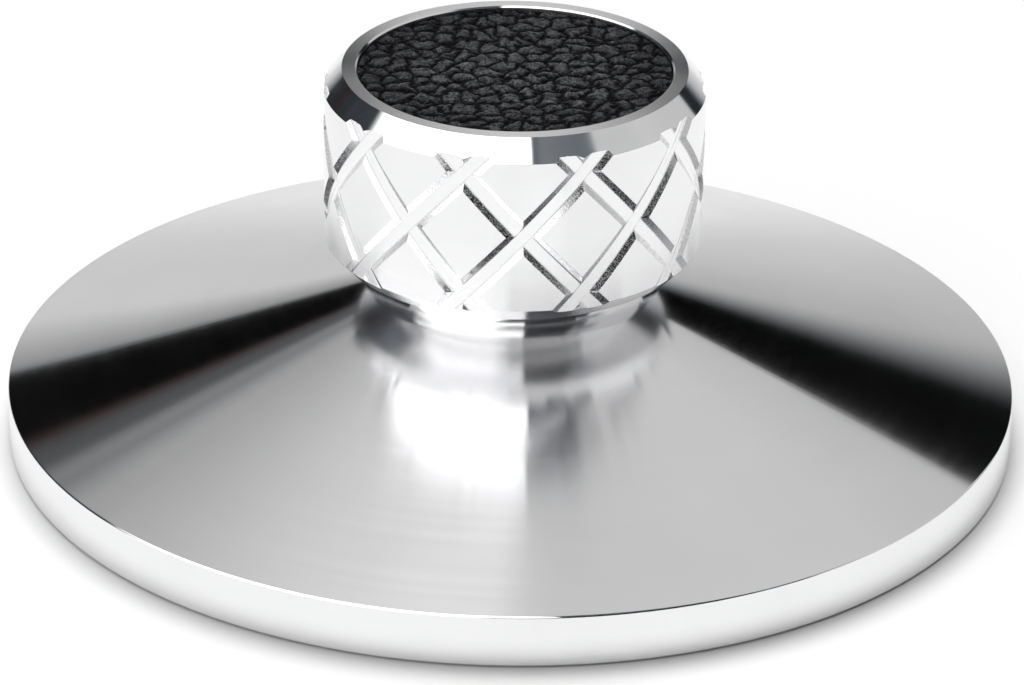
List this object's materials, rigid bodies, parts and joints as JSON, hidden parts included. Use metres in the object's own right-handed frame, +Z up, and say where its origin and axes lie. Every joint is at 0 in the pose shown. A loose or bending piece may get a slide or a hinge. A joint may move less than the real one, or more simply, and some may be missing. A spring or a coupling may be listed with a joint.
{
  "type": "record clamp",
  "caption": "Turned aluminium clamp that holds a vinyl record to its platter: a coned disc, a slim neck and a knob with crossing grip grooves and a leather top.",
  "frame": {"origin": "on the spindle's axis, in the plane of the ring that rests on the record's label", "axes": "+Z up along the spindle's axis, towards the knob; the picture's viewer stands towards -Y"},
  "size_m": [0.1, 0.1, 0.0382],
  "materials": {
    "turned_aluminium": "bright turned and polished, with fine turning lines round the axis",
    "black_leather": "satin, pebble grained"
  },
  "bodies": {
    "root": {"clamp_body": "turned_aluminium", "leather_inlay": "black_leather"}
  },
  "joints": []
}
